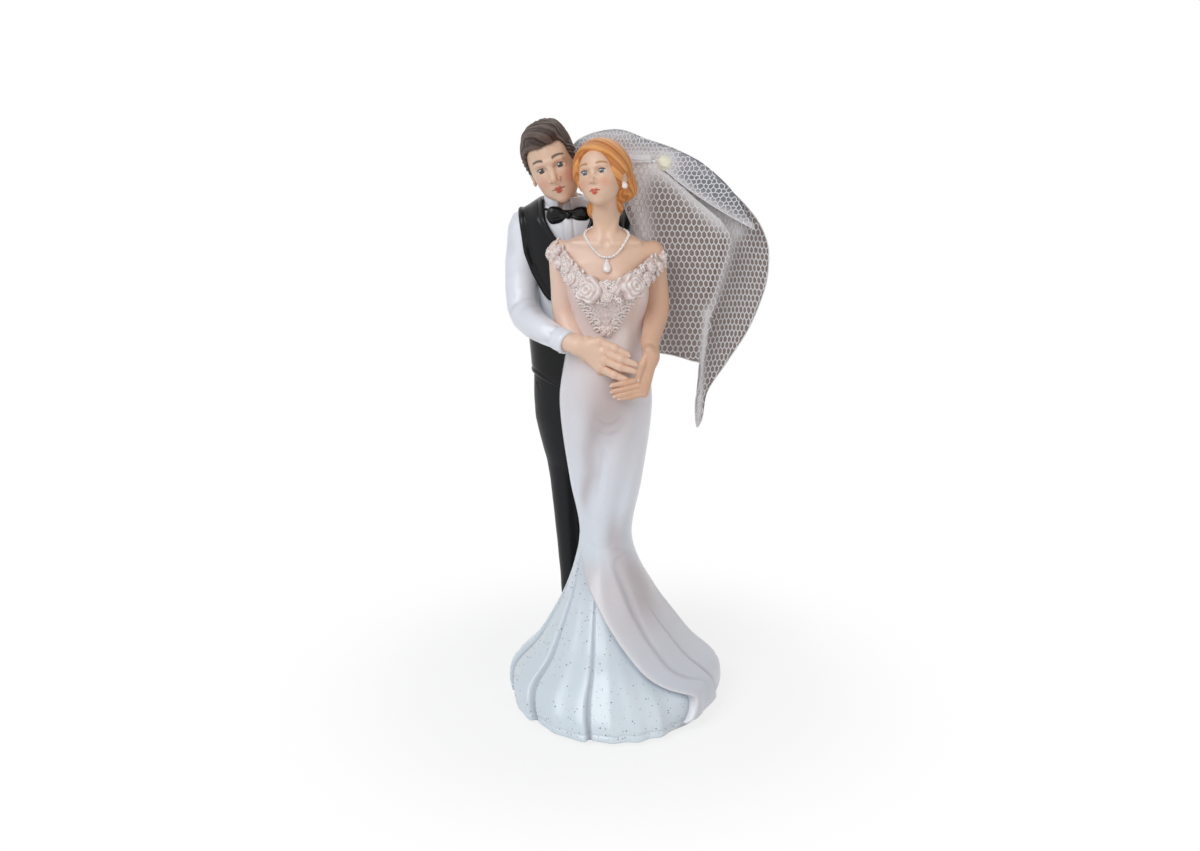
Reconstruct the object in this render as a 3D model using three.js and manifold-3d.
// A wedding cake topper: a bride and groom cast in resin, piece by piece, on a thin base plate,
// with a tulle veil gathered behind the bride's head. Millimetres, +Z up, the couple faces -Y.
// The origin is on the underside of the base plate, below the middle of the bride's skirt.
import * as THREE from "three";
import { mergeVertices } from "three/addons/utils/BufferGeometryUtils.js";
import Module from "manifold-3d";

const wasm = await Module();
wasm.setup();

// Clearances
const GAP = 0.3; // between pieces that are glued together
const MERGE = 1e-4; // vertices nearer than this are one vertex
const FACET = 0.08; // a cut surface is redrawn with fewer facets within this distance

// Base plate
const PLATE_THICK = 1.2;
const PLATE_HALF_WIDTH = 27;
const PLATE_FRONT = 33.5; // from the origin towards the viewer
const PLATE_BACK = 30;

// Gown, heights measured up from one level to the next
const KNEE_HEIGHT = 48.5; // floor to the narrowest part of the skirt
const KNEE_TO_HIP = 36.5;
const HIP_TO_WAIST = 22;
const WAIST_TO_BUST = 9;
const BUST_TO_SHOULDER = 11;
const SEAM_BELOW_WAIST = 5.5; // where the bodice meets the skirt
const NECKLINE_ABOVE_BUST = 4;
const HEM_HALF_WIDTH = 28.8;
const HEM_FRONT = 34; // how far the hem reaches in front of the bride
const HEM_BACK = 16;
const KNEE_HALF_WIDTH = 7.3;
const HIP_HALF_WIDTH = 12.6;
const WAIST_HALF_WIDTH = 9.1;
const BUST_HALF_WIDTH = 10.6;
const BRIDE_X = -2; // the bride's axis
const BRIDE_DEPTH_RATIO = 0.8; // how deep her body is for its width
const PLEAT_COUNT = 10;
const PLEAT_DEPTH = 1.7;
const PLEAT_HEIGHT = 34; // the pleats fade out this far above the hem
const SKIRT_SIDES = 60; // six facets to a pleat
const WRAP_THICK = 1.1; // the overskirt panel that crosses the front
const WRAP_TOP_THICK = 0.4; // where it comes off the skirt at the knee
const WRAP_APEX_HEIGHT = 33; // where the panel's edge starts, above the floor
const WRAP_TIP_X = 24; // where the panel's edge meets the hem
const LACE_THICK = 1.4;
const LACE_WIDTH = 4.6;
const LACE_ROSES = 14;
const LACE_ROSE_RADIUS = 1.7;
const LACE_POINT_THICK = 0.8;
const LACE_POINT_HALF_WIDTH = 7.5;
const LACE_POINT_BELOW_WAIST = 1.6;

// Bride's body
const BRIDE_SHOULDER_HALF_WIDTH = 13;
const BRIDE_NECK_RADIUS = 3.2;
const BRIDE_NECK_LENGTH = 11;
const BRIDE_HEAD_HEIGHT = 16.6; // chin to crown, without the hair
const BRIDE_HEAD_WIDTH = 12.6;
const BRIDE_HEAD_DEPTH = 14;
const BRIDE_HAIR_THICK = 1.5;
const BRIDE_ARM_RADIUS = 2.8;
const BRIDE_WRIST_RADIUS = 2;
const BUN_RADIUS = 4.6;
const NECKLACE_RADIUS = 0.5;
const NECKLACE_BEADS = 30;
const PENDANT_LENGTH = 3.4;
const PENDANT_RADIUS = 1.05;
const EARRING_RADIUS = 0.9;

// Groom, who stands behind her
const GROOM_X = -10.2;
const GROOM_Y = 17.5;
const LEG_LENGTH = 76; // floor to crotch
const CROTCH_TO_WAIST = 14;
const WAIST_TO_CHEST = 28;
const CHEST_TO_SHOULDER = 13;
const GROOM_HIP_HALF_WIDTH = 11.6;
const GROOM_WAIST_HALF_WIDTH = 11;
const GROOM_CHEST_HALF_WIDTH = 13.6;
const GROOM_DEPTH_RATIO = 0.68;
const VEST_THICK = 1;
const VEST_DROP = 3; // how far the vest hangs below the waist
const VEST_OPENING_HALF_WIDTH = 6.6;
const VEST_OPENING_DEPTH = 24;
const THIGH_RADIUS = 6.6;
const ANKLE_RADIUS = 4.3;
const LEG_SPREAD = 4.6; // each ankle from the middle between them
const ANKLES_X = -5.6;
const SHOE_LENGTH = 19;
const SHOE_HEIGHT = 6.4;
const SHOE_HALF_WIDTH = 3.9;
const SLEEVE_RADIUS = 4.6;
const SLEEVE_WRIST_RADIUS = 3;
const CUFF_LENGTH = 3.6;
const CUFF_RADIUS = 3.5;
const GROOM_NECK_RADIUS = 4.1;
const GROOM_HEAD_HEIGHT = 20;
const GROOM_HEAD_WIDTH = 14.2;
const GROOM_HEAD_DEPTH = 17;
const GROOM_HAIR_THICK = 1.5;
const COLLAR_HEIGHT = 4.2;
const COLLAR_THICK = 0.9;
const BOW_SPAN = 11;
const BOW_HEIGHT = 4.6;
const BOW_THICK = 2.4;

// Hands
const GROOM_FINGER_RADIUS = 1.1;
const BRIDE_FINGER_RADIUS = 0.9;

// Veil
const VEIL_THICK = 0.5;
const GATHER_RADIUS = 0.9;
const GATHER_LEFT = -4; // the gathered edge runs across the back of the head between these
const GATHER_RIGHT = 11.4;
const GLUE_RADIUS = 1.5;

// Levels that follow from the sizes above
const hemZ = PLATE_THICK + GAP;
const hipZ = KNEE_HEIGHT + KNEE_TO_HIP;
const waistZ = hipZ + HIP_TO_WAIST;
const seamZ = waistZ - SEAM_BELOW_WAIST;
const bustZ = waistZ + WAIST_TO_BUST;
const necklineZ = bustZ + NECKLINE_ABOVE_BUST;
const shoulderZ = bustZ + BUST_TO_SHOULDER;
const brideChinZ = shoulderZ + BRIDE_NECK_LENGTH;
const crotchZ = LEG_LENGTH;
const groomWaistZ = crotchZ + CROTCH_TO_WAIST;
const chestZ = groomWaistZ + WAIST_TO_CHEST;
const groomShoulderZ = chestZ + CHEST_TO_SHOULDER;

const vec = (x, y, z) => new THREE.Vector3(x, y, z);

// Solids from skins

/** A closed skin over a stack of rings, each a list of points, capped at both ends. */
function skin(rings) {
  const count = rings[0].length;
  const points = rings.flat();
  const faces = [];
  for (let i = 0; i + 1 < rings.length; i++) {
    for (let j = 0; j < count; j++) {
      const here = i * count + j;
      const next = i * count + ((j + 1) % count);
      faces.push(here, next, next + count, here, next + count, here + count);
    }
  }
  const middle = (ring) => ring.reduce((sum, p) => sum.add(p), vec(0, 0, 0)).divideScalar(count);
  const last = (rings.length - 1) * count;
  points.push(middle(rings[0]), middle(rings[rings.length - 1]));
  for (let j = 0; j < count; j++) {
    const next = (j + 1) % count;
    faces.push(next, j, points.length - 2, last + j, last + next, points.length - 1);
  }
  return new THREE.BufferGeometry().setFromPoints(points).setIndex(faces);
}

/** The solid inside a closed geometry. */
function solid(geometry) {
  const bare = geometry.clone();
  bare.deleteAttribute("normal");
  bare.deleteAttribute("uv");
  const merged = mergeVertices(bare, MERGE);
  const vertProperties = merged.attributes.position.array;
  const triVerts = new Uint32Array(merged.index.array);
  return new wasm.Manifold(new wasm.Mesh({ numProp: 3, vertProperties, triVerts }));
}

/** The geometry of a solid's surface. */
function surface(body) {
  const mesh = body.getMesh();
  const places = new Float32Array(mesh.numVert * 3);
  for (let i = 0; i < mesh.numVert; i++) {
    places.set(mesh.vertProperties.subarray(i * mesh.numProp, i * mesh.numProp + 3), i * 3);
  }
  return new THREE.BufferGeometry()
    .setAttribute("position", new THREE.BufferAttribute(places, 3))
    .setIndex(new THREE.BufferAttribute(new Uint32Array(mesh.triVerts), 1));
}

/** A solid with its whole surface moved outwards. */
function grown(body, distance) {
  const geometry = mergeVertices(surface(body), MERGE);
  geometry.computeVertexNormals();
  const { position, normal } = geometry.attributes;
  for (let i = 0; i < position.count; i++) {
    const p = vec(0, 0, 0).fromBufferAttribute(position, i);
    p.addScaledVector(vec(0, 0, 0).fromBufferAttribute(normal, i), distance);
    position.setXYZ(i, p.x, p.y, p.z);
  }
  geometry.deleteAttribute("normal");
  return solid(geometry);
}

/** The largest connected part of a solid, without the slivers that a cut can leave. */
function largest(body) {
  return body.decompose().reduce((best, part) => (part.volume() > best.volume() ? part : best));
}

/** A solid with no more facets than its form needs. */
function tidy(body) {
  return body.asOriginal().simplify(FACET);
}

/** What is left of a solid where it clears each of the others by the glue gap. */
function clearOf(body, ...others) {
  return others.reduce((left, other) => left.subtract(grown(other, GAP)), body);
}

/** A solid cut back so that it clears each of the others, with no more facets than it needs. */
function seated(body, ...others) {
  return largest(tidy(clearOf(body, ...others)));
}

function joined(...bodies) {
  return bodies.reduce((sum, body) => sum.add(body));
}

// Forms

/** Interpolates rows of numbers smoothly at rising positions. */
function smoothTable(positions, rows) {
  const size = rows[0].length;
  const interpolant = new THREE.CubicInterpolant(positions, rows.flat(), size, new Float64Array(size));
  return (at) => [...interpolant.evaluate(at)];
}

/** An upright body. Each row is { z, x, y, wide, front, back }: its level, middle and half sizes. */
function column(rows, { sides, rings, from, to, ripple = () => 0 }) {
  const table = smoothTable(rows.map((r) => r.z), rows.map((r) => [r.x, r.y, r.wide, r.front, r.back]));
  const stack = [];
  for (let i = 0; i <= rings; i++) {
    const z = from + ((to - from) * i) / rings;
    const [x, y, wide, front, back] = table(z);
    const ring = [];
    for (let j = 0; j < sides; j++) {
      const angle = (2 * Math.PI * j) / sides;
      const out = ripple(angle, z);
      const depth = Math.sin(angle) < 0 ? front : back;
      ring.push(vec(x + (wide + out) * Math.cos(angle), y + (depth + out) * Math.sin(angle), z));
    }
    stack.push(ring);
  }
  return solid(skin(stack));
}

/** A round limb along points, with a radius at each, closed by domes. */
function limb(points, radii, { sides = 10, rings = 8, flat = 1 } = {}) {
  const curve = new THREE.CatmullRomCurve3(points);
  const radiusAt = smoothTable(radii.map((_, i) => i / (radii.length - 1)), radii.map((r) => [r]));
  const frames = curve.computeFrenetFrames(rings, false);
  const ringAt = (centre, i, radius) => {
    const ring = [];
    for (let j = 0; j < sides; j++) {
      const angle = (2 * Math.PI * j) / sides;
      const p = centre.clone().addScaledVector(frames.normals[i], radius * Math.cos(angle));
      ring.push(p.addScaledVector(frames.binormals[i], radius * flat * Math.sin(angle)));
    }
    return ring;
  };
  const stack = [];
  const domeSteps = [0.4]; // shares of a quarter turn
  const dome = (i, sign, share) => {
    const turn = (share * Math.PI) / 2;
    const radius = radiusAt(i / rings)[0];
    const tip = curve.getPoint(i / rings).addScaledVector(frames.tangents[i], sign * radius * Math.cos(turn));
    return ringAt(tip, i, radius * Math.sin(turn));
  };
  domeSteps.forEach((share) => stack.push(dome(0, -1, share)));
  for (let i = 0; i <= rings; i++) {
    stack.push(ringAt(curve.getPoint(i / rings), i, radiusAt(i / rings)[0]));
  }
  [...domeSteps].reverse().forEach((share) => stack.push(dome(rings, 1, share)));
  return solid(skin(stack));
}

/** A ball, stretched along the three axes, at a point. */
function ball(at, x, y = x, z = x, across = 12, up = 8) {
  const geometry = new THREE.SphereGeometry(1, across, up).scale(x, y, z).translate(at.x, at.y, at.z);
  return solid(geometry);
}

/** A flat outline of [x, z] points, as a block from one y to another. */
function frontBlock(outline, fromY, toY) {
  const shape = new THREE.Shape(outline.map(([x, z]) => new THREE.Vector2(x, z)));
  const depth = toY - fromY;
  const block = new THREE.ExtrudeGeometry(shape, { depth, bevelEnabled: false });
  return solid(block.rotateX(Math.PI / 2).translate(0, toY, 0));
}

/** A sheet of cloth over ribs, each a list of points from its gathered end to its hem. */
function cloth(ribs, { across, down }) {
  const curves = ribs.map((rib) => new THREE.CatmullRomCurve3(rib));
  const grid = [];
  for (let i = 0; i <= down; i++) {
    const line = new THREE.CatmullRomCurve3(curves.map((curve) => curve.getPoint(i / down)));
    grid.push(Array.from({ length: across + 1 }, (_, j) => line.getPoint(j / across)));
  }
  const normalAt = (i, j) => {
    const pick = (a, b) => grid[THREE.MathUtils.clamp(a, 0, down)][THREE.MathUtils.clamp(b, 0, across)];
    const along = pick(i + 1, j).clone().sub(pick(i - 1, j));
    return pick(i, j + 1).clone().sub(pick(i, j - 1)).cross(along).normalize();
  };
  const moved = (p, i, j, distance) => p.clone().addScaledVector(normalAt(i, j), distance);
  const shifted = (side) => {
    const distance = (side * VEIL_THICK) / 2;
    return grid.flatMap((row, i) => row.map((p, j) => moved(p, i, j, distance)));
  };
  const points = [...shifted(1), ...shifted(-1)];
  const wide = across + 1;
  const under = wide * (down + 1); // the back face's points follow the front's
  const faces = [];
  const quad = (a, b, c, d) => faces.push(a, b, c, a, c, d);
  for (let i = 0; i < down; i++) {
    for (let j = 0; j < across; j++) {
      const a = i * wide + j;
      quad(a, a + 1, a + 1 + wide, a + wide);
      quad(under + a, under + a + wide, under + a + wide + 1, under + a + 1);
    }
    const left = i * wide;
    const right = left + across;
    quad(left, left + wide, under + left + wide, under + left);
    quad(right + wide, right, under + right, under + right + wide);
  }
  for (let j = 0; j < across; j++) {
    const low = down * wide + j;
    quad(j + 1, j, under + j, under + j + 1);
    quad(low, low + 1, under + low + 1, under + low);
  }
  return facingOut(new THREE.BufferGeometry().setFromPoints(points).setIndex(faces));
}

// Heads share one profile: shares of the head's height, then of its width and depth.
const HEAD_PROFILE = [
  { up: 0, wide: 0.13, shift: -0.3, deep: 0.1 },
  { up: 0.06, wide: 0.25, shift: -0.25, deep: 0.19 },
  { up: 0.18, wide: 0.35, shift: -0.15, deep: 0.31 },
  { up: 0.32, wide: 0.42, shift: -0.07, deep: 0.4 },
  { up: 0.48, wide: 0.46, shift: -0.02, deep: 0.46 },
  { up: 0.64, wide: 0.48, shift: 0.02, deep: 0.49 },
  { up: 0.8, wide: 0.44, shift: 0.04, deep: 0.46 },
  { up: 0.92, wide: 0.31, shift: 0.04, deep: 0.33 },
  { up: 1, wide: 0.1, shift: 0.04, deep: 0.11 },
];

/** A head of a size, standing on its chin level at the origin, facing -Y, with a small nose. */
function headForm(height, width, depth, { sides = 16, rings = 9 } = {}) {
  const rows = HEAD_PROFILE.map((r) => ({
    z: r.up * height,
    x: 0,
    y: r.shift * depth,
    wide: r.wide * width,
    front: r.deep * depth,
    back: r.deep * depth,
  }));
  return column(rows, { sides, rings, from: 0, to: height });
}

/** The place of a head: its middle, and how far it rolls, nods and turns, in degrees. */
function headPlace(middle, height, roll, nod, turn) {
  const rad = THREE.MathUtils.degToRad;
  const rotation = new THREE.Matrix4().makeRotationFromEuler(
    new THREE.Euler(rad(nod), rad(roll), rad(turn), "YXZ"),
  );
  return new THREE.Matrix4()
    .makeTranslation(middle.x, middle.y, middle.z)
    .multiply(rotation)
    .multiply(new THREE.Matrix4().makeTranslation(0, 0, -height / 2));
}

const placed = (body, matrix) => solid(surface(body).applyMatrix4(matrix));

// Base plate

function basePlate() {
  const middleY = (PLATE_BACK - PLATE_FRONT) / 2;
  const outline = new THREE.Shape().absellipse(0, middleY, PLATE_HALF_WIDTH, (PLATE_FRONT + PLATE_BACK) / 2);
  return solid(
    new THREE.ExtrudeGeometry(outline, { depth: PLATE_THICK, bevelEnabled: false, curveSegments: 20 }),
  );
}

// Gown

/** The rows of the gown's outline from hem to neckline, all about the bride's axis. */
function gownRows() {
  const even = (z, wide, x = BRIDE_X) => {
    const deep = wide * BRIDE_DEPTH_RATIO;
    return { z, x, y: 0, wide, front: deep, back: deep };
  };
  const flare = (z, share, x) => ({
    z,
    x,
    y: -2 * share,
    wide: THREE.MathUtils.lerp(KNEE_HALF_WIDTH, HEM_HALF_WIDTH, share),
    front: THREE.MathUtils.lerp(KNEE_HALF_WIDTH, HEM_FRONT, share),
    back: THREE.MathUtils.lerp(KNEE_HALF_WIDTH, HEM_BACK, share),
  });
  const hemToKnee = KNEE_HEIGHT - hemZ;
  return [
    { ...flare(hemZ, 1, -0.2), wide: HEM_HALF_WIDTH - 0.6 },
    { ...flare(hemZ + 0.09 * hemToKnee, 0.94, -0.2), wide: HEM_HALF_WIDTH },
    { ...flare(hemZ + 0.18 * hemToKnee, 0.83, -0.2), wide: HEM_HALF_WIDTH - 1.2 },
    flare(hemZ + 0.3 * hemToKnee, 0.67, -0.4),
    flare(hemZ + 0.41 * hemToKnee, 0.48, -0.8),
    flare(hemZ + 0.6 * hemToKnee, 0.22, -1.6),
    flare(hemZ + 0.8 * hemToKnee, 0.06, BRIDE_X),
    { ...even(KNEE_HEIGHT, KNEE_HALF_WIDTH), front: KNEE_HALF_WIDTH, back: KNEE_HALF_WIDTH },
    even(KNEE_HEIGHT + 0.4 * KNEE_TO_HIP, (KNEE_HALF_WIDTH + HIP_HALF_WIDTH) / 2),
    even(hipZ, HIP_HALF_WIDTH),
    even(hipZ + 0.55 * HIP_TO_WAIST, (HIP_HALF_WIDTH + WAIST_HALF_WIDTH) / 2 + 0.3),
    { ...even(waistZ, WAIST_HALF_WIDTH), front: 0.72 * WAIST_HALF_WIDTH, back: 0.66 * WAIST_HALF_WIDTH },
    { ...even(bustZ, BUST_HALF_WIDTH), front: 0.85 * BUST_HALF_WIDTH, back: 0.6 * BUST_HALF_WIDTH },
    {
      ...even(necklineZ + 2, BUST_HALF_WIDTH + 0.4),
      front: 0.78 * BUST_HALF_WIDTH,
      back: 0.6 * BUST_HALF_WIDTH,
    },
  ];
}

/** How far the pleats stand out at an angle and level of the skirt. */
function pleats(angle, z) {
  const fade = THREE.MathUtils.clamp(1 - (z - hemZ) / PLEAT_HEIGHT, 0, 1);
  const wave = Math.abs(Math.sin((PLEAT_COUNT * angle) / 2 + 0.35 * Math.sin(2 * angle)));
  return PLEAT_DEPTH * fade * fade * (wave - 0.6);
}

function skirt() {
  return column(gownRows(), { sides: SKIRT_SIDES, rings: 15, from: hemZ, to: seamZ, ripple: pleats });
}

function bodice() {
  return column(gownRows(), { sides: 20, rings: 6, from: seamZ + GAP, to: necklineZ });
}

/** The overskirt: a layer over the right of the skirt, whose edge crosses the front. */
function overskirt(skirtBody, backY) {
  const high = KNEE_HEIGHT + 2;
  const far = HEM_HALF_WIDTH + 4;
  const edge = [
    [BRIDE_X - KNEE_HALF_WIDTH / 2, high],
    [BRIDE_X - 4, WRAP_APEX_HEIGHT],
    [BRIDE_X + 6, WRAP_APEX_HEIGHT / 2],
    [WRAP_TIP_X - 6, hemZ + 6],
    [WRAP_TIP_X, hemZ + 1.5],
    [far, hemZ + 1.5],
    [far, high],
  ];
  const region = frontBlock(edge, -HEM_FRONT - 8, backY);
  const layer = (angle, z) => {
    const drop = THREE.MathUtils.clamp((KNEE_HEIGHT - z) / (KNEE_HEIGHT - WRAP_APEX_HEIGHT), 0, 1);
    return pleats(angle, z) + GAP + THREE.MathUtils.lerp(WRAP_TOP_THICK, WRAP_THICK, drop);
  };
  const outer = column(gownRows(), { sides: SKIRT_SIDES, rings: 9, from: hemZ, to: high, ripple: layer });
  return largest(outer.subtract(grown(skirtBody, GAP)).intersect(region));
}

// Bride

function brideBust() {
  const row = (z, wide, front, back, x = BRIDE_X, y = 0) => ({ z, x, y, wide, front, back });
  const wide = BRIDE_SHOULDER_HALF_WIDTH;
  const neck = BRIDE_NECK_RADIUS;
  const rows = [
    row(bustZ - 2, BUST_HALF_WIDTH - 1.5, 0.72 * BUST_HALF_WIDTH, 4.6),
    row(bustZ + 0.55 * BUST_TO_SHOULDER, wide - 1.2, 6.6, 5),
    row(shoulderZ - 1.5, wide, 5, 4.8),
    row(shoulderZ + 1.2, wide - 2.2, 4.2, 4.4),
    row(shoulderZ + 3.2, wide / 2, 3.7, 4),
    row(shoulderZ + 5.4, neck + 0.6, neck, neck + 0.2, BRIDE_X, 0.3),
    row(brideChinZ, neck, neck, neck, BRIDE_X - 0.3, 0),
    row(brideChinZ + 3.5, neck, neck, neck, BRIDE_X - 0.6, 0.4),
  ];
  return column(rows, { sides: 18, rings: 12, from: rows[0].z, to: rows[rows.length - 1].z });
}

const brideHeadMiddle = vec(BRIDE_X - 1.2, -0.6, brideChinZ + BRIDE_HEAD_HEIGHT / 2 + 0.6);
const brideHeadMatrix = headPlace(brideHeadMiddle, BRIDE_HEAD_HEIGHT, -7, -14, -20);
const groomHeadMiddle = vec(GROOM_X - 5.8, GROOM_Y - 7.5, groomShoulderZ + 17.6);
const groomHeadMatrix = headPlace(groomHeadMiddle, GROOM_HEAD_HEIGHT, -21, 4, -6);

/** A head with its nose and ears, at its place. */
function head(height, width, depth, matrix) {
  const ears = [-1, 1].map((side) => {
    const at = vec(side * 0.48 * width, 0.04 * depth, 0.42 * height);
    return ball(at, 0.06 * width, 0.1 * depth, 0.13 * height, 8, 6);
  });
  const nose = limb(
    [vec(0, -0.44 * depth, 0.56 * height), vec(0, -0.5 * depth, 0.42 * height)],
    [0.045 * width, 0.09 * width],
    { sides: 8, rings: 3 },
  );
  return placed(joined(headForm(height, width, depth), nose, ...ears), matrix);
}

/** A cap of hair round a head, open over the face below the hairline. */
function hairCap(height, width, depth, thick, hairline, sideLow) {
  const cap = headForm(height + thick, width + 2 * thick, depth + 2 * thick);
  const low = -1;
  const faceSide = -0.16 * depth; // the hair starts behind this at the sides of the face
  const face = frontBlock(
    [[-width, low], [width, low], [width, hairline * height], [-width, hairline * height]],
    -depth,
    faceSide,
  );
  const nape = frontBlock(
    [[-width, low], [width, low], [width, sideLow * height], [-width, sideLow * height]],
    -depth,
    depth,
  );
  return cap.subtract(face).subtract(nape);
}

function brideHair() {
  const cap = placed(
    hairCap(BRIDE_HEAD_HEIGHT, BRIDE_HEAD_WIDTH, BRIDE_HEAD_DEPTH, BRIDE_HAIR_THICK, 0.8, 0.22),
    brideHeadMatrix,
  );
  const bunMiddle = vec(BRIDE_X + 1.2, 4.6, brideChinZ + 1.8);
  const side = brideHeadMiddle.clone().add(vec(BRIDE_HEAD_WIDTH / 2 + 0.6, 2.2, -1.5));
  const lock = limb(
    [side, side.clone().add(vec(-0.3, 1, -4)), bunMiddle.clone().add(vec(2.2, -0.4, -2.2))],
    [2, 2.3, 1.8],
    { rings: 5 },
  );
  return joined(cap, ball(bunMiddle, BUN_RADIUS, BUN_RADIUS - 0.6, BUN_RADIUS), lock);
}

/** Both of the bride's arms run from shoulder to elbow to wrist. */
const brideArms = {
  left: [
    vec(BRIDE_X + BRIDE_SHOULDER_HALF_WIDTH - 0.6, 0.4, shoulderZ - 1.4),
    vec(BRIDE_X + BRIDE_SHOULDER_HALF_WIDTH + 0.6, 0.8, waistZ + 11),
    vec(BRIDE_X + BRIDE_SHOULDER_HALF_WIDTH + 0.7, 0, waistZ + 3.5),
    vec(BRIDE_X + BRIDE_SHOULDER_HALF_WIDTH - 1.6, -7.6, waistZ - 3.5),
  ],
  right: [
    vec(BRIDE_X - BRIDE_SHOULDER_HALF_WIDTH + 0.6, 0.4, shoulderZ - 1.4),
    vec(BRIDE_X - BRIDE_SHOULDER_HALF_WIDTH + 0.3, 1, waistZ + 11),
    vec(BRIDE_X - BRIDE_SHOULDER_HALF_WIDTH + 0.4, 0.6, waistZ + 2.4),
    vec(BRIDE_X - WAIST_HALF_WIDTH + 1.6, -6.6, waistZ - 5),
  ],
};

function brideArm(points) {
  const r = BRIDE_ARM_RADIUS;
  return limb(points, [r + 0.3, r, r - 0.1, BRIDE_WRIST_RADIUS], { sides: 12, rings: 10 });
}

/** A palm with fingers: each finger is a list of points from its knuckle to its tip. */
function hand(palm, palmRadii, fingers, fingerRadius) {
  const parts = fingers.map((points) =>
    limb(points, points.map((_, i) => fingerRadius * (1.05 - 0.1 * i)), { sides: 6, rings: 3 }),
  );
  return joined(limb(palm, palmRadii, { sides: 10, rings: 5, flat: 0.62 }), ...parts);
}

const bellyY = -WAIST_HALF_WIDTH + 0.4; // the front of the gown where the hands lie

function brideLeftHand() {
  const wrist = brideArms.left[3];
  const fingerFan = [0, 1, 2, 3].map((i) => [
    vec(BRIDE_X + 8.8 - 0.5 * i, bellyY - 3.4, waistZ - 10.6 - 1.5 * i),
    vec(BRIDE_X + 5.6 - 0.4 * i, bellyY - 3.6, waistZ - 12 - 1.4 * i),
    vec(BRIDE_X + 2.6 + 0.7 * i, bellyY - 3.2, waistZ - 13.6 - 1.2 * i),
  ]);
  const thumb = [
    vec(BRIDE_X + 9.4, bellyY - 3, waistZ - 6.2),
    vec(BRIDE_X + 8.6, bellyY - 4, waistZ - 8.4),
    vec(BRIDE_X + 8, bellyY - 4.2, waistZ - 10.4),
  ];
  const palm = [
    wrist,
    vec(BRIDE_X + 10.4, bellyY - 2.6, waistZ - 8),
    vec(BRIDE_X + 8.8, bellyY - 3, waistZ - 12.4),
  ];
  return hand(palm, [2, 2.6, 2.8], [...fingerFan, thumb], BRIDE_FINGER_RADIUS);
}

/** The hand that lies hidden under the groom's palm. */
function brideRightHand() {
  const wrist = brideArms.right[3];
  const palm = [
    wrist,
    vec(BRIDE_X - 3.4, bellyY - 0.4, waistZ - 7.4),
    vec(BRIDE_X + 1, bellyY - 0.6, waistZ - 9),
  ];
  return limb(palm, [1.8, 2.2, 1.6], { sides: 10, rings: 6, flat: 0.6 });
}

function earringBall() {
  const at = vec(0.47 * BRIDE_HEAD_WIDTH + EARRING_RADIUS, -0.14 * BRIDE_HEAD_DEPTH, 0.3 * BRIDE_HEAD_HEIGHT);
  return ball(at.applyMatrix4(brideHeadMatrix), EARRING_RADIUS, EARRING_RADIUS, EARRING_RADIUS, 10, 7);
}

function necklace(bust) {
  const low = vec(BRIDE_X + 0.2, -5.9, shoulderZ - 1.4);
  const half = [
    [1.9, -5.7, 0.5],
    [4.3, -4.7, 3.6],
    [5.8, -2.6, 6],
    [5.2, 0.8, 7.3],
    [2.8, 3.4, 7.9],
  ];
  const side = (sign) => half.map(([x, y, up]) => vec(low.x + sign * x, y, low.z + up));
  const loop = new THREE.CatmullRomCurve3([low, ...side(1), ...side(-1).reverse()], true);
  const rings = NECKLACE_BEADS * 2;
  const sides = 5;
  const frames = loop.computeFrenetFrames(rings, true);
  const stack = [];
  for (let i = 0; i < rings; i++) {
    const radius = NECKLACE_RADIUS * (i % 2 ? 0.7 : 1.15);
    const ring = [];
    for (let j = 0; j < sides; j++) {
      const angle = (2 * Math.PI * j) / sides;
      const p = loop.getPointAt(i / rings).addScaledVector(frames.normals[i], radius * Math.cos(angle));
      ring.push(p.addScaledVector(frames.binormals[i], radius * Math.sin(angle)));
    }
    stack.push(ring);
  }
  return seated(solid(loopSkin(stack)), bust);
}

/** A closed skin over rings that run round a loop. */
function loopSkin(rings) {
  const count = rings[0].length;
  const faces = [];
  rings.forEach((_, i) => {
    const after = ((i + 1) % rings.length) * count;
    for (let j = 0; j < count; j++) {
      const next = (j + 1) % count;
      const here = i * count;
      faces.push(here + j, here + next, after + next, here + j, after + next, after + j);
    }
  });
  return new THREE.BufferGeometry().setFromPoints(rings.flat()).setIndex(faces);
}

function pendant() {
  const r = PENDANT_RADIUS;
  const long = PENDANT_LENGTH;
  const profile = new THREE.SplineCurve(
    [[0, 0], [0.8 * r, 0.1 * long], [r, 0.32 * long], [0.5 * r, 0.7 * long], [0, long]].map(
      ([x, y]) => new THREE.Vector2(x, y),
    ),
  ).getPoints(9);
  profile[0].x = 0;
  profile[profile.length - 1].x = 0;
  const drop = new THREE.LatheGeometry(profile, 12).rotateX(Math.PI / 2);
  return solid(drop.translate(BRIDE_X + 0.2, -6.9, shoulderZ - 1.5 - long));
}

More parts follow.
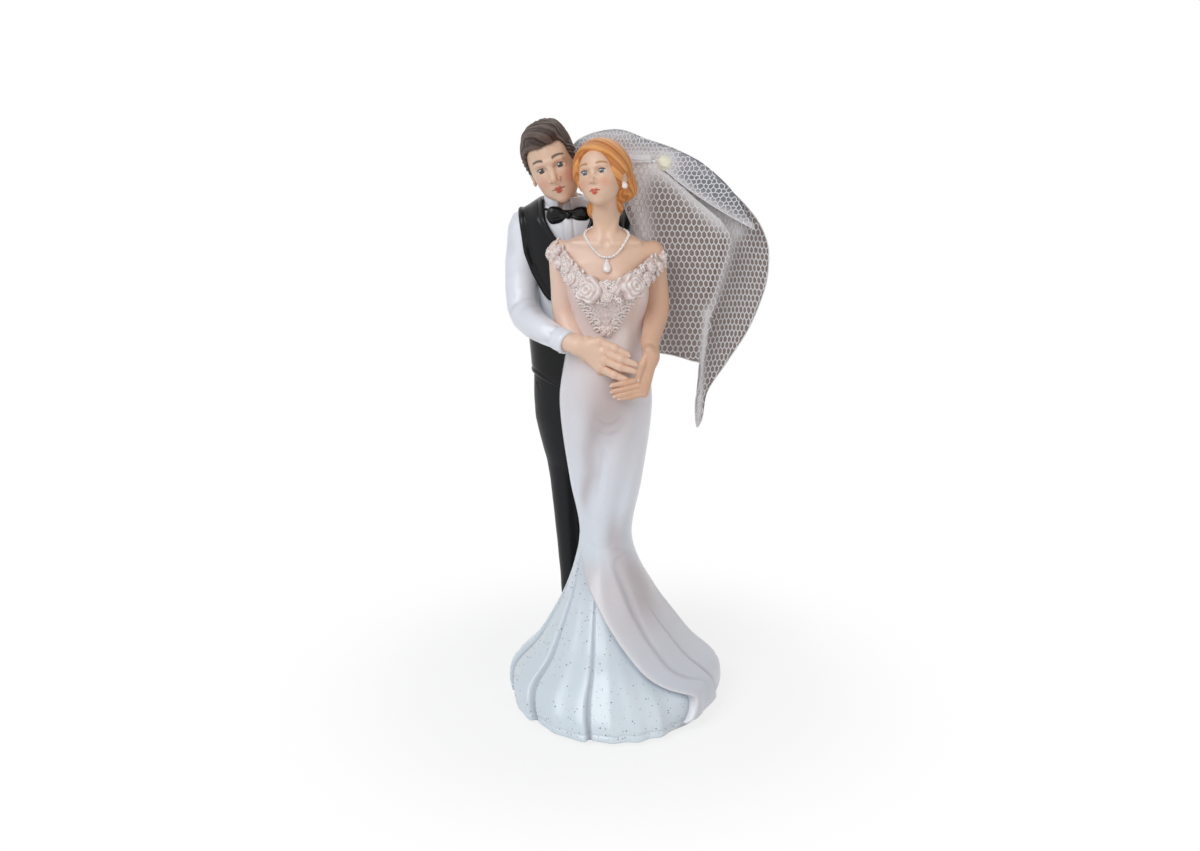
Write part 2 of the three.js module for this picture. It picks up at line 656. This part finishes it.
/** The lace that runs round both arms and across the bust, with roses along it. */
function laceCollar() {
  const out = BRIDE_SHOULDER_HALF_WIDTH + 2;
  const points = [
    vec(BRIDE_X, -9, necklineZ - 2.8),
    vec(BRIDE_X + 0.45 * out, -8.2, necklineZ - 0.8),
    vec(BRIDE_X + 0.86 * out, -3.4, shoulderZ - 4),
    vec(BRIDE_X + 1.04 * out, 0.6, shoulderZ - 2.6),
    vec(BRIDE_X + 0.84 * out, 4.4, shoulderZ - 3.6),
    vec(BRIDE_X, 6.4, necklineZ + 0.6),
    vec(BRIDE_X - 0.84 * out, 4.4, shoulderZ - 3.6),
    vec(BRIDE_X - 1.04 * out, 0.6, shoulderZ - 2.6),
    vec(BRIDE_X - 0.86 * out, -3.4, shoulderZ - 4),
    vec(BRIDE_X - 0.45 * out, -8.2, necklineZ - 0.8),
  ];
  const loop = new THREE.CatmullRomCurve3(points, true);
  const rings = 26;
  const sides = 6;
  const centre = vec(BRIDE_X, 0, necklineZ);
  const band = Array.from({ length: rings }, (_, i) => {
    const middle = loop.getPointAt(i / rings);
    const outward = middle.clone().sub(centre).setZ(0).normalize();
    return Array.from({ length: sides }, (_, j) => {
      const angle = (2 * Math.PI * j) / sides;
      const p = middle.clone().addScaledVector(outward, LACE_THICK * Math.cos(angle));
      return p.add(vec(0, 0, (LACE_WIDTH / 2) * Math.sin(angle)));
    });
  });
  const roses = Array.from({ length: LACE_ROSES }, (_, i) =>
    ball(loop.getPointAt(i / LACE_ROSES), LACE_ROSE_RADIUS, LACE_ROSE_RADIUS, LACE_ROSE_RADIUS + 0.4, 6, 4),
  );
  return joined(facingOut(loopSkin(band)), ...roses);
}

/** A solid from a loop's skin, whichever way round its rings run. */
function facingOut(geometry) {
  const made = solid(geometry);
  if (made.volume() > 0) return made;
  const index = geometry.index.array;
  for (let i = 0; i < index.length; i += 3) [index[i + 1], index[i + 2]] = [index[i + 2], index[i + 1]];
  return solid(geometry);
}

/** The lace that runs from the bust to a point below the waist, laid on the bodice. */
function lacePoint(bodiceBody) {
  const half = LACE_POINT_HALF_WIDTH;
  const top = bustZ + 1;
  const bottom = waistZ - LACE_POINT_BELOW_WAIST;
  const outline = [
    [BRIDE_X - half, top],
    [BRIDE_X - 0.55 * half, THREE.MathUtils.lerp(bottom, top, 0.45)],
    [BRIDE_X - 1.6, bottom + 0.8],
    [BRIDE_X, bottom],
    [BRIDE_X + 1.6, bottom + 0.8],
    [BRIDE_X + 0.55 * half, THREE.MathUtils.lerp(bottom, top, 0.45)],
    [BRIDE_X + half, top],
  ];
  const region = frontBlock(outline, -BUST_HALF_WIDTH - 4, -1);
  return grown(bodiceBody, GAP + LACE_POINT_THICK).subtract(grown(bodiceBody, GAP)).intersect(region);
}

// Groom

function shirt() {
  const row = (z, wide, x = GROOM_X) => ({
    z,
    x,
    y: GROOM_Y,
    wide,
    front: wide * GROOM_DEPTH_RATIO,
    back: wide * GROOM_DEPTH_RATIO,
  });
  const neckX = GROOM_X - 2.6;
  const rows = [
    row(groomWaistZ - 4, GROOM_WAIST_HALF_WIDTH),
    row(groomWaistZ + 6, GROOM_WAIST_HALF_WIDTH + 0.4),
    row(groomWaistZ + 0.6 * WAIST_TO_CHEST, GROOM_CHEST_HALF_WIDTH - 0.8),
    row(chestZ, GROOM_CHEST_HALF_WIDTH),
    row(groomShoulderZ - 4, GROOM_CHEST_HALF_WIDTH),
    row(groomShoulderZ, GROOM_CHEST_HALF_WIDTH - 3, GROOM_X - 0.8),
    row(groomShoulderZ + 3, GROOM_NECK_RADIUS + 3.6, neckX),
    row(groomShoulderZ + 5.5, GROOM_NECK_RADIUS + 1, neckX),
  ];
  return column(rows, { sides: 16, rings: 10, from: rows[0].z, to: rows[rows.length - 1].z });
}

/** The vest: a layer over the shirt with a deep front opening and a pointed hem. */
function vest(shirtBody) {
  const top = groomShoulderZ + 2.6;
  const low = groomWaistZ - VEST_DROP;
  const far = GROOM_CHEST_HALF_WIDTH + 6;
  const region = frontBlock(
    [
      [GROOM_X - far, low + 1.6],
      [GROOM_X - 3, low - 1],
      [GROOM_X, low + 1],
      [GROOM_X + 3, low - 1],
      [GROOM_X + far, low + 1.6],
      [GROOM_X + far, top],
      [GROOM_X - far, top],
    ],
    GROOM_Y - 20,
    GROOM_Y + 20,
  );
  const neckX = GROOM_X - 2.6;
  const opening = frontBlock(
    [
      [GROOM_X, groomShoulderZ + 3 - VEST_OPENING_DEPTH],
      [neckX + VEST_OPENING_HALF_WIDTH, groomShoulderZ + 4],
      [neckX - VEST_OPENING_HALF_WIDTH, groomShoulderZ + 4],
    ],
    GROOM_Y - 20,
    GROOM_Y - 2,
  );
  const layer = grown(shirtBody, GAP + VEST_THICK).subtract(grown(shirtBody, GAP));
  return layer.intersect(region).subtract(opening);
}

const groomArms = {
  right: [
    vec(GROOM_X - 13.8, GROOM_Y - 1, groomShoulderZ - 3.4),
    vec(GROOM_X - 15, GROOM_Y - 3.5, groomShoulderZ - 15),
    vec(GROOM_X - 14.6, GROOM_Y - 8.5, waistZ - 0.5),
    vec(GROOM_X - 10, GROOM_Y - 19, waistZ - 2.6),
    vec(BRIDE_X - 12.4, bellyY + 1.5, waistZ - 3.4),
  ],
  left: [
    vec(GROOM_X + 13.2, GROOM_Y + 0.5, groomShoulderZ - 4),
    vec(GROOM_X + 14.4, GROOM_Y + 2.5, groomShoulderZ - 16),
    vec(GROOM_X + 14, GROOM_Y + 3.6, groomWaistZ + 16),
    vec(GROOM_X + 12.6, GROOM_Y + 2, groomWaistZ + 3),
  ],
};

function sleeve(points) {
  const r = SLEEVE_RADIUS;
  const share = (i) => i / (points.length - 1);
  const radii = points.map((_, i) => THREE.MathUtils.lerp(r + 0.2, SLEEVE_WRIST_RADIUS, share(i) ** 2));
  return limb(points, radii, { sides: 12, rings: 9 });
}

/** A cuff round the end of a sleeve. */
function cuff(points) {
  const end = points[points.length - 1];
  const along = end.clone().sub(points[points.length - 2]).normalize();
  const start = end.clone().addScaledVector(along, -0.35 * CUFF_LENGTH);
  const stop = end.clone().addScaledVector(along, 0.65 * CUFF_LENGTH);
  const curve = new THREE.LineCurve3(start, stop);
  const outline = new THREE.Shape().absarc(0, 0, CUFF_RADIUS, 0, 2 * Math.PI);
  return solid(new THREE.ExtrudeGeometry(outline, { extrudePath: curve, steps: 1, curveSegments: 7 }));
}

function groomRightHand() {
  const wrist = groomArms.right[4].clone().add(vec(1.6, -0.4, -0.3));
  const knuckle = vec(BRIDE_X - 1.4, bellyY - 3.2, waistZ - 6.2);
  const fingers = [0, 1, 2, 3].map((i) => {
    const reach = [6.4, 7.6, 7.4, 6][i];
    const start = knuckle.clone().add(vec(0.3 - 0.6 * i, 0.2 * i, 0.6 - 1.9 * i));
    const tip = start.clone().add(vec(reach, 0.2, -0.5 - 0.34 * i));
    return [start, start.clone().lerp(tip, 0.5).add(vec(0, -0.4, 0.2)), tip];
  });
  const thumb = [
    vec(BRIDE_X - 6.6, bellyY - 2.4, waistZ - 2.6),
    vec(BRIDE_X - 3.6, bellyY - 3, waistZ - 3.2),
    vec(BRIDE_X - 0.8, bellyY - 3, waistZ - 4.4),
  ];
  const palm = [
    wrist,
    vec(BRIDE_X - 6.4, bellyY - 2.6, waistZ - 5.4),
    vec(BRIDE_X - 1.8, bellyY - 3, waistZ - 8.4),
  ];
  return hand(palm, [2.2, 3.6, 3.9], [...fingers, thumb], GROOM_FINGER_RADIUS);
}

function groomLeftHand() {
  const wrist = groomArms.left[3].clone().add(vec(-0.2, -0.2, -2));
  const down = (x, y, z) => wrist.clone().add(vec(x, y, -z));
  const fingers = [0, 1, 2, 3].map((i) => [
    down(-0.6, 2.4 - 1.6 * i, 6),
    down(-1, 2.3 - 1.6 * i, 8.6),
    down(-1.4, 2.1 - 1.5 * i, 10.6 + (i % 3 ? 0.8 : 0)),
  ]);
  const palm = [wrist, down(-0.2, 0, 3), down(-0.6, -0.1, 6.4)];
  return hand(palm, [2, 2.4, 2.2], fingers, GROOM_FINGER_RADIUS);
}

function trousers() {
  const hipDepth = GROOM_HIP_HALF_WIDTH * GROOM_DEPTH_RATIO;
  const hips = column(
    [-6, 2, 10, CROTCH_TO_WAIST - 1].map((up, i) => ({
      z: crotchZ + up,
      x: GROOM_X,
      y: GROOM_Y,
      wide: GROOM_HIP_HALF_WIDTH - [1.4, 0, 0, 0.6][i],
      front: hipDepth,
      back: hipDepth + [0.4, 1, 0.6, 0][i],
    })),
    { sides: 20, rings: 6, from: crotchZ - 6, to: crotchZ + CROTCH_TO_WAIST - 1 },
  );
  const legs = [-1, 1].map((side) => {
    const foot = ANKLES_X + side * LEG_SPREAD;
    const top = GROOM_X + side * (GROOM_HIP_HALF_WIDTH - THIGH_RADIUS);
    const at = (share, bow) => {
      const x = THREE.MathUtils.lerp(foot, top, share) + bow;
      return vec(x, GROOM_Y + 1.4 * (1 - share), share * crotchZ);
    };
    return limb(
      [at(0.09, 0), at(0.3, 0), at(0.55, -0.2), at(0.78, -0.2), at(1, 0)],
      [ANKLE_RADIUS - 0.4, ANKLE_RADIUS, ANKLE_RADIUS + 0.5, 5.4, THIGH_RADIUS],
      { sides: 14, rings: 12 },
    );
  });
  return joined(hips, ...legs);
}

/** A shoe from its sole up to the ankle, toe towards the viewer. */
function shoe(side) {
  const x = ANKLES_X + side * LEG_SPREAD;
  const y = GROOM_Y + 1.4;
  const heel = 0.32 * SHOE_LENGTH;
  const toe = SHOE_LENGTH - heel;
  const w = SHOE_HALF_WIDTH;
  const rows = [
    { z: hemZ, x, y, wide: w - 0.3, front: toe - 0.4, back: heel },
    { z: hemZ + 0.25 * SHOE_HEIGHT, x, y, wide: w, front: toe, back: heel },
    { z: hemZ + 0.55 * SHOE_HEIGHT, x, y, wide: w - 0.3, front: 0.66 * toe, back: heel - 0.3 },
    { z: hemZ + SHOE_HEIGHT, x, y, wide: w - 1, front: 0.3 * toe, back: heel - 1.4 },
  ];
  return column(rows, { sides: 16, rings: 5, from: hemZ, to: hemZ + SHOE_HEIGHT });
}

function collar() {
  const neckX = GROOM_X - 2.6;
  const z = groomShoulderZ + 3.4;
  const r = GROOM_NECK_RADIUS + GAP;
  const row = (up, out) => ({
    z: z + up,
    x: neckX - 0.12 * up,
    y: GROOM_Y - 0.9 - 0.35 * up,
    wide: r + out,
    front: r + out,
    back: r + out,
  });
  const rows = [
    row(0, COLLAR_THICK + 0.9),
    row(0.5 * COLLAR_HEIGHT, COLLAR_THICK + 0.6),
    row(COLLAR_HEIGHT, COLLAR_THICK),
  ];
  const ring = column(rows, { sides: 20, rings: 3, from: z, to: z + COLLAR_HEIGHT });
  const top = z + COLLAR_HEIGHT + 1;
  const notch = [
    [neckX + 1.6, top],
    [neckX, z - 0.5],
    [neckX - 1.6, top],
  ];
  return ring.subtract(frontBlock(notch, GROOM_Y - 12, GROOM_Y - 3));
}

function groomNeck() {
  const neckX = GROOM_X - 2.6;
  const r = GROOM_NECK_RADIUS;
  const base = vec(neckX, GROOM_Y - 1, groomShoulderZ + 3.2);
  const bend = vec(neckX - 1, GROOM_Y - 2.6, groomShoulderZ + 8);
  return limb([base, bend, groomHeadMiddle], [r, r, r], { sides: 14, rings: 6 });
}

function groomHair() {
  const cap = hairCap(GROOM_HEAD_HEIGHT, GROOM_HEAD_WIDTH, GROOM_HEAD_DEPTH, GROOM_HAIR_THICK, 0.78, 0.34);
  return placed(cap, groomHeadMatrix);
}

function bowTie() {
  const middle = vec(GROOM_X - 1.3, GROOM_Y - 8.6, groomShoulderZ + 2.4);
  const half = BOW_SPAN / 2;
  const lobe = (side) => {
    const rows = [0, 0.45, 1].map((share, i) => ({
      z: share * half,
      x: 0,
      y: 0,
      wide: [BOW_HEIGHT * 0.22, BOW_HEIGHT * 0.42, BOW_HEIGHT * 0.5][i],
      front: [0.36, 0.5, 0.36][i] * BOW_THICK,
      back: [0.36, 0.5, 0.36][i] * BOW_THICK,
    }));
    const form = surface(column(rows, { sides: 12, rings: 5, from: 0, to: half }));
    return solid(form.rotateY((side * Math.PI) / 2).translate(middle.x, middle.y, middle.z));
  };
  return joined(lobe(1), lobe(-1), ball(middle, 1.3, BOW_THICK * 0.62, 1.5, 10, 6));
}

// Veil

const gatherZ = brideHeadMiddle.z + 2.4;
const gatherY = brideHeadMiddle.y + BRIDE_HEAD_DEPTH / 2 + BRIDE_HAIR_THICK + GATHER_RADIUS + 0.6;

/** A veil point given across from the bride's axis, behind the gather and above it. */
const veilAt = (across, behind, above) => vec(BRIDE_X + across, gatherY + behind, gatherZ + above);

function veilGather() {
  const points = [GATHER_LEFT, (GATHER_LEFT + GATHER_RIGHT) / 2, GATHER_RIGHT].map((x) => veilAt(x, 0, 0));
  const radii = points.map(() => GATHER_RADIUS);
  return limb(points, radii, { sides: 10, rings: 6 });
}

/** The long tier hangs beside the bride's left arm, with one pleat and a long corner. */
function veilLongTier() {
  const ribs = [
    [[6, 0.5, -1.8], [7.6, -0.1, -10.5], [11.8, -1.4, -21.5], [13.6, -1.6, -36], [13.6, -1.6, -51.6]],
    [[9.8, 0.1, -1.9], [13, -1.2, -10.4], [16.8, -2, -22], [17.4, -2.4, -36], [17.6, -2.4, -52]],
    [[13, -0.8, -2.2], [18.6, -2.4, -10.4], [21.6, -2.8, -22], [22.6, -3, -36], [23, -3, -53]],
    [[14.5, -1, -2.2], [22, -3.2, -9.6], [27, -3.8, -21], [26.6, -3.8, -35], [25.4, -3.4, -52]],
    [[14.8, 0, -2.7], [21.6, 0, -9.8], [24.8, 0, -22], [25, 0, -38], [24.8, -0.2, -58]],
    [[15.6, 0.4, -2.8], [23.6, 0.5, -9.4], [28, 1, -22], [28, 0.8, -44], [26.1, -0.4, -73.8]],
    [[16.4, 0.5, -2.8], [25.8, 1.5, -9], [33, 2.5, -21], [33.4, 2, -42], [28.2, 0.6, -64]],
    [[17.2, 0.5, -2.7], [27.2, 1.5, -8.2], [36.6, 2.6, -19.4], [38.4, 2.4, -36], [33.6, 1.6, -55.6]],
    [[17.9, 0.3, -2.6], [27.8, 0.6, -7.6], [37.4, 1.2, -18.4], [42, 1.2, -30], [40, 1, -43.2]],
    [[18.4, -0.1, -2.5], [28, -0.5, -6.9], [36.6, -0.7, -16.4], [42.2, -0.5, -24.4], [44.2, -0.4, -28]],
  ].map((rib) => rib.map((p) => veilAt(...p)));
  return cloth(ribs, { across: 20, down: 10 });
}

/** The short tier stands up from the gather and fans out over the top of the long one. */
function veilShortTier() {
  const ribs = [
    [[-2.4, 0.3, 1.8], [-4.2, 0.3, 4], [-5.8, 0.8, 5.4], [-6.8, 1.4, 5.4]],
    [[-0.6, 0.2, 1.8], [-2.2, 0, 5.4], [-3.4, 0.9, 7], [-4, 2.2, 7.2]],
    [[3, 0.1, 1.8], [3, -0.2, 6.2], [3.3, 0.9, 7.7], [3.6, 2.6, 7.4]],
    [[7, 0, 1.8], [9.6, -0.4, 5.4], [11.2, 0.6, 6.6], [12.4, 2.4, 6]],
    [[11, -0.2, 1.9], [16.4, -1, 3.9], [19.4, -0.4, 3.6], [21.4, 1, 2.8]],
    [[14.4, -1, 2.1], [22, -1.8, 1.4], [27, -1.6, -1.2], [29.6, -0.8, -3.2]],
    [[15.8, -2, 1.1], [25.6, -3, -2], [33.6, -3.2, -8], [38.6, -3, -15.2]],
    [[16, -3, -0.4], [22.6, -4.2, -4.4], [31, -4.8, -10], [37.6, -4.6, -18]],
  ].map((rib) => rib.map((p) => veilAt(...p)));
  return cloth(ribs, { across: 18, down: 7 });
}

function veilGlueDot() {
  const across = GATHER_RIGHT + GATHER_RADIUS + GLUE_RADIUS + GAP - 0.2;
  return ball(veilAt(across, -0.2, -0.2), GLUE_RADIUS, GLUE_RADIUS, GLUE_RADIUS, 10, 6);
}

// Assembly: each piece is cut back to seat against the pieces made before it.

const material = (color, roughness = 0.5, metalness = 0) =>
  new THREE.MeshStandardMaterial({ color, roughness, metalness });
const finish = {
  skin: material(0xe8bd9c, 0.42),
  gown: material(0xece4e6, 0.35),
  lace: material(0xe6d2cb, 0.5),
  pearl: material(0xf1e6df, 0.2),
  copperHair: material(0xc9803f, 0.45),
  brownHair: material(0x4a3833, 0.5),
  white: material(0xe6e6ec, 0.4),
  black: material(0x1d1e22, 0.35),
  tulle: material(0xdfdcdc, 0.8),
  glue: material(0xe9e2bd, 0.3),
};

function node(name, body, look) {
  const mesh = new THREE.Mesh(surface(body), look);
  mesh.name = name;
  return mesh;
}

function group(name, ...meshes) {
  const made = new THREE.Group();
  made.name = name;
  made.add(...meshes);
  return made;
}

const plate = basePlate();
const bust = tidy(brideBust());
const brideHeadForm = head(BRIDE_HEAD_HEIGHT, BRIDE_HEAD_WIDTH, BRIDE_HEAD_DEPTH, brideHeadMatrix);
const groomHeadForm = joined(
  head(GROOM_HEAD_HEIGHT, GROOM_HEAD_WIDTH, GROOM_HEAD_DEPTH, groomHeadMatrix),
  groomNeck(),
);
const bodiceForm = bodice();
const skirtForm = skirt();
const shirtForm = shirt();
const trouserForm = tidy(trousers());
const leftArm = brideArm(brideArms.left);
const rightArm = brideArm(brideArms.right);
const leftSleeve = sleeve(groomArms.left);
const rightSleeve = sleeve(groomArms.right);
const brideHairForm = brideHair();
const bothArms = [leftArm, rightArm];

const brideHead = seated(brideHeadForm, bust);
const groomHead = seated(groomHeadForm, shirtForm, brideHeadForm);
const brideHairPiece = seated(brideHairForm, brideHeadForm, bust, groomHeadForm, shirtForm);
const groomHairPiece = seated(groomHair(), groomHeadForm, brideHairForm, brideHeadForm);
const bodicePiece = seated(bodiceForm, bust);
const armPieces = bothArms.map((arm) => seated(arm, bust, bodiceForm));
const shoeForms = [-1, 1].map((side) => shoe(side));
const shoes = shoeForms.map((form) => seated(form, trouserForm, plate));
const skirtPiece = seated(skirtForm, bodiceForm, trouserForm, ...shoeForms, ...bothArms);
const overskirtPiece = seated(overskirt(skirtForm, GROOM_Y - 8), trouserForm, ...shoeForms, plate);
const lacePointPiece = seated(lacePoint(bodiceForm), bust, ...bothArms);
const laceCollarForm = laceCollar();
const laceCollarPiece = seated(laceCollarForm, bust, bodiceForm, ...bothArms, lacePointPiece);
const brideBody = [bodiceForm, bust, skirtForm, ...bothArms];
const shirtPiece = seated(shirtForm, trouserForm, ...brideBody, laceCollarForm);
const sleevePieces = [rightSleeve, leftSleeve].map((arm) =>
  seated(arm, shirtForm, trouserForm, ...brideBody, laceCollarForm),
);
const rightCuffForm = cuff(groomArms.right);
const leftCuffForm = cuff(groomArms.left);
const rightCuff = seated(rightCuffForm, rightSleeve, ...brideBody);
const leftCuff = seated(leftCuffForm, leftSleeve, trouserForm, shirtForm);
const brideLeftHandForm = brideLeftHand();
const brideRightHandForm = brideRightHand();
const brideLeftHandPiece = seated(brideLeftHandForm, ...brideBody);
const brideRightHandPiece = seated(
  brideRightHandForm,
  ...brideBody,
  brideLeftHandForm,
  rightSleeve,
  rightCuffForm,
);
const groomRightHandPiece = seated(
  groomRightHand(),
  ...brideBody,
  rightSleeve,
  rightCuffForm,
  brideLeftHandForm,
  brideRightHandForm,
);
const groomLeftHandForm = groomLeftHand();
const groomLeftHandPiece = seated(groomLeftHandForm, leftSleeve, leftCuffForm, trouserForm, skirtForm);
const collarPiece = seated(collar(), shirtForm, groomHeadForm, brideHairForm);
const vestPiece = seated(
  vest(shirtForm),
  trouserForm,
  collarPiece,
  ...brideBody,
  laceCollarForm,
  rightSleeve,
  leftSleeve,
  groomHeadForm,
  leftCuffForm,
  groomLeftHandForm,
  brideHairForm,
);
const bowTiePiece = seated(bowTie(), collarPiece, shirtForm, vestPiece, groomHeadForm, brideHairForm, bust);
const necklacePiece = necklace(bust);
const pendantPiece = seated(pendant(), bust, necklacePiece, laceCollarForm);
const earring = seated(earringBall(), brideHeadForm, brideHairForm);
const gatherForm = veilGather();
const groomTorso = [groomHeadForm, shirtForm, collarPiece, vestPiece, bowTiePiece];
const gatherPiece = seated(gatherForm, brideHairForm, ...groomTorso);
const glueDot = seated(veilGlueDot(), gatherForm);
const longTier = clearOf(veilLongTier(), ...groomTorso, leftSleeve);
const shortTier = clearOf(veilShortTier(), ...groomTorso, leftSleeve);

const topper = new THREE.Group();
topper.name = "wedding_cake_topper";
topper.add(
  node("base_plate", plate, finish.gown),
  group(
    "bride",
    node("bride_bust", bust, finish.skin),
    node("bride_head", brideHead, finish.skin),
    node("bride_hair", brideHairPiece, finish.copperHair),
    node("bride_left_arm", armPieces[0], finish.skin),
    node("bride_right_arm", armPieces[1], finish.skin),
    node("bride_left_hand", brideLeftHandPiece, finish.skin),
    node("bride_right_hand", brideRightHandPiece, finish.skin),
    node("gown_bodice", bodicePiece, finish.gown),
    node("gown_skirt", skirtPiece, finish.gown),
    node("gown_overskirt", overskirtPiece, finish.gown),
    node("lace_collar", laceCollarPiece, finish.lace),
    node("lace_point", lacePointPiece, finish.lace),
    node("necklace", necklacePiece, finish.pearl),
    node("necklace_pendant", pendantPiece, finish.pearl),
    node("earring", earring, finish.pearl),
  ),
  group(
    "groom",
    node("groom_head", groomHead, finish.skin),
    node("groom_hair", groomHairPiece, finish.brownHair),
    node("groom_shirt", shirtPiece, finish.white),
    node("groom_collar", collarPiece, finish.white),
    node("groom_bow_tie", bowTiePiece, finish.black),
    node("groom_vest", vestPiece, finish.black),
    node("groom_right_sleeve", sleevePieces[0], finish.white),
    node("groom_right_cuff", rightCuff, finish.white),
    node("groom_right_hand", groomRightHandPiece, finish.skin),
    node("groom_left_sleeve", sleevePieces[1], finish.white),
    node("groom_left_cuff", leftCuff, finish.white),
    node("groom_left_hand", groomLeftHandPiece, finish.skin),
    node("groom_trousers", trouserForm, finish.black),
    node("groom_right_shoe", shoes[0], finish.black),
    node("groom_left_shoe", shoes[1], finish.black),
  ),
  group(
    "veil",
    node("veil_long_tier", longTier, finish.tulle),
    node("veil_short_tier", shortTier, finish.tulle),
    node("veil_gather", gatherPiece, finish.tulle),
    node("veil_glue_dot", glueDot, finish.glue),
  ),
);

export default topper;
